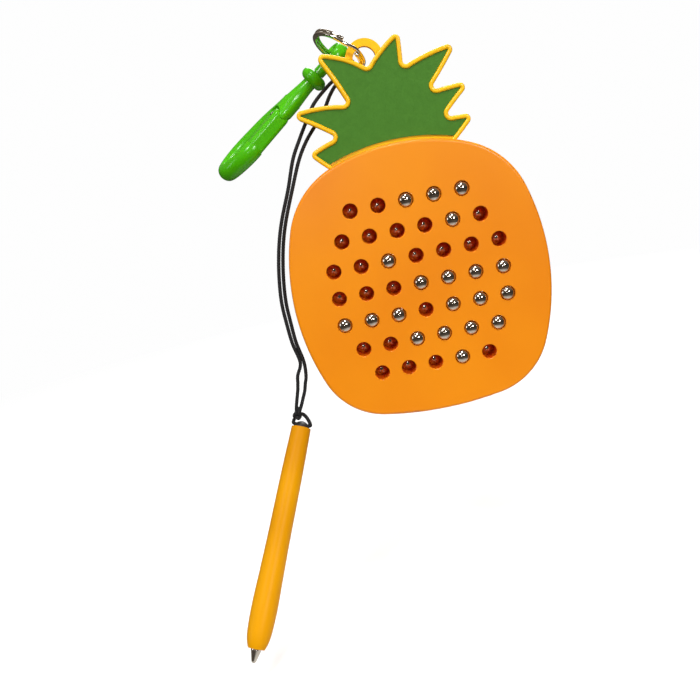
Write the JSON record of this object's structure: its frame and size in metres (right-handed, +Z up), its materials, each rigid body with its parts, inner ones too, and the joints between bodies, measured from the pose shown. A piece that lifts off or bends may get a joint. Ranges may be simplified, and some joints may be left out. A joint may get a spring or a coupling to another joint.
{
  "type": "magnetic bead drawing board keychain",
  "caption": "Pineapple-shaped magnetic bead drawing board on a split ring and swivel clasp, with a magnetic stylus tied on a thin cord.",
  "frame": {"origin": "on the flat back of the board, straight behind the middle of the bead grid", "axes": "+X right and +Z up towards the leaf crown when looking at the bead face, which faces -Y"},
  "size_m": [0.0862, 0.0428, 0.1351],
  "materials": {
    "orange_shell": "gloss",
    "amber_shell": "gloss",
    "leaf_green": "matte",
    "bead_steel": "polished",
    "nickel": "polished",
    "clasp_green": "satin",
    "small_steel": "satin",
    "barrel_amber": "satin",
    "magnet": "plated",
    "black_plug": "matte",
    "black_cord": "braided"
  },
  "bodies": {
    "board": {"front_shell": "orange_shell", "back_shell": "amber_shell", "crown_inlay": "leaf_green"},
    "ring": {"split_ring": "nickel"},
    "bail": {"swivel_bail": "clasp_green"},
    "clasp": {"clasp_body": "clasp_green", "gate_pin": "small_steel", "gate_spring": "small_steel"},
    "gate": {"clasp_gate": "clasp_green"},
    "cord_top": {"cord_upper": "black_cord"},
    "cord_mid": {"cord_middle": "black_cord"},
    "cord_low": {"cord_lower": "black_cord", "cord_knot": "black_cord"},
    "stylus": {"stylus_barrel": "barrel_amber", "stylus_tip": "nickel", "stylus_magnet": "magnet", "stylus_end_plug": "black_plug"},
    "bead_r1c1": {"bead_r1c1": "bead_steel"},
    "bead_r1c2": {"bead_r1c2": "bead_steel"},
    "bead_r1c3": {"bead_r1c3": "bead_steel"},
    "bead_r1c4": {"bead_r1c4": "bead_steel"},
    "bead_r1c5": {"bead_r1c5": "bead_steel"},
    "bead_r2c1": {"bead_r2c1": "bead_steel"},
    "bead_r2c2": {"bead_r2c2": "bead_steel"},
    "bead_r2c3": {"bead_r2c3": "bead_steel"},
    "bead_r2c4": {"bead_r2c4": "bead_steel"},
    "bead_r2c5": {"bead_r2c5": "bead_steel"},
    "bead_r2c6": {"bead_r2c6": "bead_steel"},
    "bead_r3c1": {"bead_r3c1": "bead_steel"},
    "bead_r3c2": {"bead_r3c2": "bead_steel"},
    "bead_r3c3": {"bead_r3c3": "bead_steel"},
    "bead_r3c4": {"bead_r3c4": "bead_steel"},
    "bead_r3c5": {"bead_r3c5": "bead_steel"},
    "bead_r3c6": {"bead_r3c6": "bead_steel"},
    "bead_r3c7": {"bead_r3c7": "bead_steel"},
    "bead_r4c1": {"bead_r4c1": "bead_steel"},
    "bead_r4c2": {"bead_r4c2": "bead_steel"},
    "bead_r4c3": {"bead_r4c3": "bead_steel"},
    "bead_r4c4": {"bead_r4c4": "bead_steel"},
    "bead_r4c5": {"bead_r4c5": "bead_steel"},
    "bead_r4c6": {"bead_r4c6": "bead_steel"},
    "bead_r4c7": {"bead_r4c7": "bead_steel"},
    "bead_r5c1": {"bead_r5c1": "bead_steel"},
    "bead_r5c2": {"bead_r5c2": "bead_steel"},
    "bead_r5c3": {"bead_r5c3": "bead_steel"},
    "bead_r5c4": {"bead_r5c4": "bead_steel"},
    "bead_r5c5": {"bead_r5c5": "bead_steel"},
    "bead_r5c6": {"bead_r5c6": "bead_steel"},
    "bead_r5c7": {"bead_r5c7": "bead_steel"},
    "bead_r6c1": {"bead_r6c1": "bead_steel"},
    "bead_r6c2": {"bead_r6c2": "bead_steel"},
    "bead_r6c3": {"bead_r6c3": "bead_steel"},
    "bead_r6c4": {"bead_r6c4": "bead_steel"},
    "bead_r6c5": {"bead_r6c5": "bead_steel"},
    "bead_r6c6": {"bead_r6c6": "bead_steel"},
    "bead_r7c1": {"bead_r7c1": "bead_steel"},
    "bead_r7c2": {"bead_r7c2": "bead_steel"},
    "bead_r7c3": {"bead_r7c3": "bead_steel"},
    "bead_r7c4": {"bead_r7c4": "bead_steel"},
    "bead_r7c5": {"bead_r7c5": "bead_steel"}
  },
  "joints": [
    {"name": "clasp_swing", "type": "hinge", "parent": "ring", "child": "bail", "pos_m": [-0.01047, 0.0038, 0.05486], "axis": [0.6862, 0.2505, -0.6829], "range_deg": [-10, 60]},
    {"name": "clasp_swivel", "type": "hinge", "parent": "bail", "child": "clasp", "pos_m": [-0.01653, 0.0045, 0.04981], "axis": [0.829, 0, 0.5592], "continuous": true},
    {"name": "cord_bend", "type": "hinge", "parent": "cord_mid", "child": "cord_low", "pos_m": [-0.0318, -0.004, -0.0141], "axis": [0, 1, 0], "range_deg": [-6, 60]},
    {"name": "cord_fold", "type": "hinge", "parent": "cord_top", "child": "cord_mid", "pos_m": [-0.0259, -0.0015, 0.0268], "axis": [0, 1, 0], "range_deg": [0, 45]},
    {"name": "cord_swing", "type": "hinge", "parent": "board", "child": "cord_top", "pos_m": [-0.0076, 0.0028, 0.0496], "axis": [1, 0, 0], "range_deg": [-4, 60]},
    {"name": "gate_open", "type": "hinge", "parent": "clasp", "child": "gate", "pos_m": [-0.0256, 0.00305, 0.04323], "axis": [0.5401, 0.2588, -0.8008], "range_deg": [0, 22], "stiffness_Nm_per_rad": 0.004, "springref_deg": -11.46},
    {"name": "ring_swing", "type": "hinge", "parent": "board", "child": "ring", "pos_m": [-0.0031, -0.00275, 0.052], "axis": [0.6561, 0, 0.7547], "range_deg": [-14, 6]},
    {"name": "stylus_swing", "type": "hinge", "parent": "cord_low", "child": "stylus", "pos_m": [-0.03534, -0.00363, -0.03001], "axis": [0.9157, 0, -0.4019], "range_deg": [-35, 60]},
    {"name": "travel_r1c1", "type": "slide", "parent": "board", "child": "bead_r1c1", "axis": [0, -1, 0], "range_m": [0, 0.00391]},
    {"name": "travel_r1c2", "type": "slide", "parent": "board", "child": "bead_r1c2", "axis": [0, -1, 0], "range_m": [0, 0.00391]},
    {"name": "travel_r1c3", "type": "slide", "parent": "board", "child": "bead_r1c3", "axis": [0, -1, 0], "range_m": [-0.00391, 0]},
    {"name": "travel_r1c4", "type": "slide", "parent": "board", "child": "bead_r1c4", "axis": [0, -1, 0], "range_m": [-0.00391, 0]},
    {"name": "travel_r1c5", "type": "slide", "parent": "board", "child": "bead_r1c5", "axis": [0, -1, 0], "range_m": [-0.00391, 0]},
    {"name": "travel_r2c1", "type": "slide", "parent": "board", "child": "bead_r2c1", "axis": [0, -1, 0], "range_m": [0, 0.00391]},
    {"name": "travel_r2c2", "type": "slide", "parent": "board", "child": "bead_r2c2", "axis": [0, -1, 0], "range_m": [0, 0.00391]},
    {"name": "travel_r2c3", "type": "slide", "parent": "board", "child": "bead_r2c3", "axis": [0, -1, 0], "range_m": [0, 0.00391]},
    {"name": "travel_r2c4", "type": "slide", "parent": "board", "child": "bead_r2c4", "axis": [0, -1, 0], "range_m": [0, 0.00391]},
    {"name": "travel_r2c5", "type": "slide", "parent": "board", "child": "bead_r2c5", "axis": [0, -1, 0], "range_m": [-0.00391, 0]},
    {"name": "travel_r2c6", "type": "slide", "parent": "board", "child": "bead_r2c6", "axis": [0, -1, 0], "range_m": [0, 0.00391]},
    {"name": "travel_r3c1", "type": "slide", "parent": "board", "child": "bead_r3c1", "axis": [0, -1, 0], "range_m": [0, 0.00391]},
    {"name": "travel_r3c2", "type": "slide", "parent": "board", "child": "bead_r3c2", "axis": [0, -1, 0], "range_m": [0, 0.00391]},
    {"name": "travel_r3c3", "type": "slide", "parent": "board", "child": "bead_r3c3", "axis": [0, -1, 0], "range_m": [-0.00391, 0]},
    {"name": "travel_r3c4", "type": "slide", "parent": "board", "child": "bead_r3c4", "axis": [0, -1, 0], "range_m": [0, 0.00391]},
    {"name": "travel_r3c5", "type": "slide", "parent": "board", "child": "bead_r3c5", "axis": [0, -1, 0], "range_m": [0, 0.00391]},
    {"name": "travel_r3c6", "type": "slide", "parent": "board", "child": "bead_r3c6", "axis": [0, -1, 0], "range_m": [0, 0.00391]},
    {"name": "travel_r3c7", "type": "slide", "parent": "board", "child": "bead_r3c7", "axis": [0, -1, 0], "range_m": [0, 0.00391]},
    {"name": "travel_r4c1", "type": "slide", "parent": "board", "child": "bead_r4c1", "axis": [0, -1, 0], "range_m": [0, 0.00391]},
    {"name": "travel_r4c2", "type": "slide", "parent": "board", "child": "bead_r4c2", "axis": [0, -1, 0], "range_m": [0, 0.00391]},
    {"name": "travel_r4c3", "type": "slide", "parent": "board", "child": "bead_r4c3", "axis": [0, -1, 0], "range_m": [0, 0.00391]},
    {"name": "travel_r4c4", "type": "slide", "parent": "board", "child": "bead_r4c4", "axis": [0, -1, 0], "range_m": [-0.00391, 0]},
    {"name": "travel_r4c5", "type": "slide", "parent": "board", "child": "bead_r4c5", "axis": [0, -1, 0], "range_m": [-0.00391, 0]},
    {"name": "travel_r4c6", "type": "slide", "parent": "board", "child": "bead_r4c6", "axis": [0, -1, 0], "range_m": [-0.00391, 0]},
    {"name": "travel_r4c7", "type": "slide", "parent": "board", "child": "bead_r4c7", "axis": [0, -1, 0], "range_m": [-0.00391, 0]},
    {"name": "travel_r5c1", "type": "slide", "parent": "board", "child": "bead_r5c1", "axis": [0, -1, 0], "range_m": [-0.00391, 0]},
    {"name": "travel_r5c2", "type": "slide", "parent": "board", "child": "bead_r5c2", "axis": [0, -1, 0], "range_m": [-0.00391, 0]},
    {"name": "travel_r5c3", "type": "slide", "parent": "board", "child": "bead_r5c3", "axis": [0, -1, 0], "range_m": [-0.00391, 0]},
    {"name": "travel_r5c4", "type": "slide", "parent": "board", "child": "bead_r5c4", "axis": [0, -1, 0], "range_m": [0, 0.00391]},
    {"name": "travel_r5c5", "type": "slide", "parent": "board", "child": "bead_r5c5", "axis": [0, -1, 0], "range_m": [-0.00391, 0]},
    {"name": "travel_r5c6", "type": "slide", "parent": "board", "child": "bead_r5c6", "axis": [0, -1, 0], "range_m": [-0.00391, 0]},
    {"name": "travel_r5c7", "type": "slide", "parent": "board", "child": "bead_r5c7", "axis": [0, -1, 0], "range_m": [-0.00391, 0]},
    {"name": "travel_r6c1", "type": "slide", "parent": "board", "child": "bead_r6c1", "axis": [0, -1, 0], "range_m": [0, 0.00391]},
    {"name": "travel_r6c2", "type": "slide", "parent": "board", "child": "bead_r6c2", "axis": [0, -1, 0], "range_m": [0, 0.00391]},
    {"name": "travel_r6c3", "type": "slide", "parent": "board", "child": "bead_r6c3", "axis": [0, -1, 0], "range_m": [-0.00391, 0]},
    {"name": "travel_r6c4", "type": "slide", "parent": "board", "child": "bead_r6c4", "axis": [0, -1, 0], "range_m": [-0.00391, 0]},
    {"name": "travel_r6c5", "type": "slide", "parent": "board", "child": "bead_r6c5", "axis": [0, -1, 0], "range_m": [-0.00391, 0]},
    {"name": "travel_r6c6", "type": "slide", "parent": "board", "child": "bead_r6c6", "axis": [0, -1, 0], "range_m": [-0.00391, 0]},
    {"name": "travel_r7c1", "type": "slide", "parent": "board", "child": "bead_r7c1", "axis": [0, -1, 0], "range_m": [0, 0.00391]},
    {"name": "travel_r7c2", "type": "slide", "parent": "board", "child": "bead_r7c2", "axis": [0, -1, 0], "range_m": [0, 0.00391]},
    {"name": "travel_r7c3", "type": "slide", "parent": "board", "child": "bead_r7c3", "axis": [0, -1, 0], "range_m": [0, 0.00391]},
    {"name": "travel_r7c4", "type": "slide", "parent": "board", "child": "bead_r7c4", "axis": [0, -1, 0], "range_m": [-0.00391, 0]},
    {"name": "travel_r7c5", "type": "slide", "parent": "board", "child": "bead_r7c5", "axis": [0, -1, 0], "range_m": [0, 0.00391]}
  ]
}
